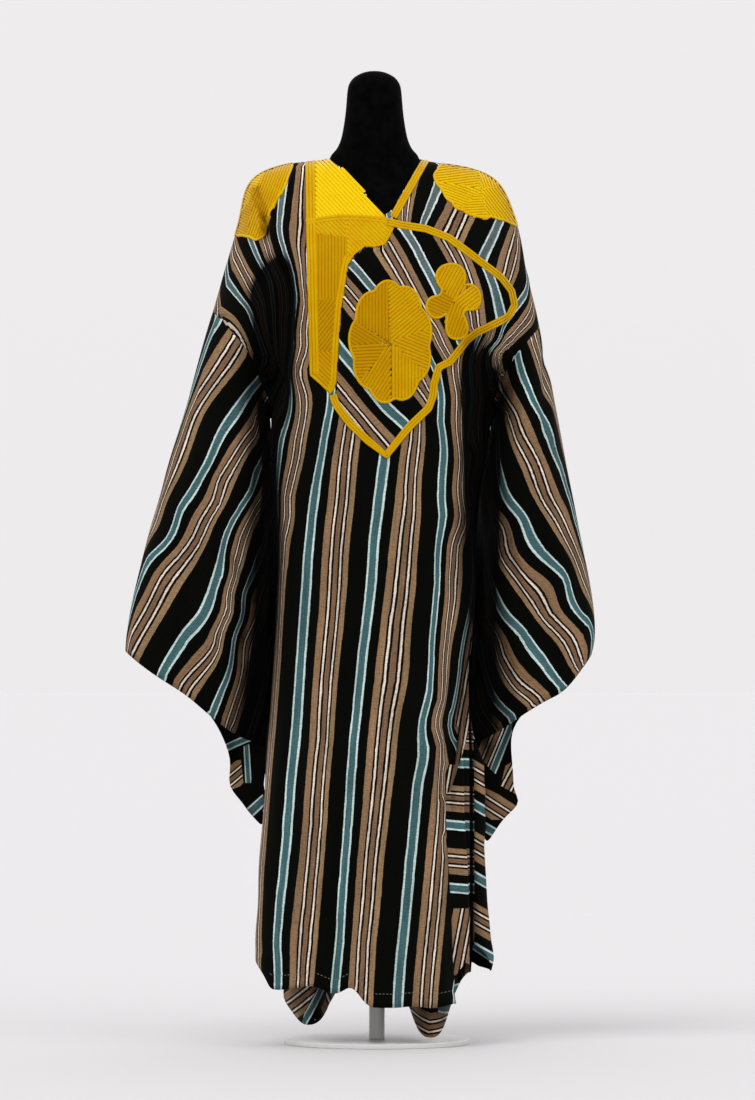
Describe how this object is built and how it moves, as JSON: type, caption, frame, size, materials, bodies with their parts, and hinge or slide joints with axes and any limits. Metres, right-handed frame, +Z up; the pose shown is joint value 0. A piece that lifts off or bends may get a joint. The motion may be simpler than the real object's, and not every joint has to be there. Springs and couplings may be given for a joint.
{
  "type": "embroidered striped kaftan on a dress form",
  "caption": "Wide full-length striped cotton kaftan with a V neck, wide sleeves, side gores and gold embroidery, standing on a limbless dress form.",
  "frame": {"origin": "centre of the base plate's underside", "axes": "+Z up, the garment's front faces -Y, +X towards the viewer's right"},
  "size_m": [0.7529, 0.3063, 1.565],
  "materials": {
    "striped_cotton": "matt handwoven stripes in black, brown, white and teal",
    "gold_thread": "close rows of couched thread with a soft gloss",
    "black_velvet": "matt pile with a faint sheen at the edges",
    "pale_paint": "satin powder coat"
  },
  "bodies": {
    "root": {"front_panel": "striped_cotton", "back_panel": "striped_cotton", "sleeve_left_front": "striped_cotton", "sleeve_left_back": "striped_cotton", "sleeve_right_front": "striped_cotton", "sleeve_right_back": "striped_cotton", "sleeve_gusset_left": "striped_cotton", "sleeve_gusset_right": "striped_cotton", "side_gore_left": "striped_cotton", "side_gore_right": "striped_cotton", "hem_godet_left": "striped_cotton", "hem_godet_right": "striped_cotton", "pocket": "striped_cotton", "neck_embroidery": "gold_thread", "neck_band": "gold_thread", "pocket_band": "gold_thread", "rosette_large": "gold_thread", "rosette_small": "gold_thread", "shoulder_rosette_left": "gold_thread", "shoulder_rosette_left_back": "gold_thread", "shoulder_rosette_right": "gold_thread", "shoulder_rosette_right_back": "gold_thread", "dress_form": "black_velvet", "stand_pole": "pale_paint", "stand_base": "pale_paint"}
  },
  "joints": []
}
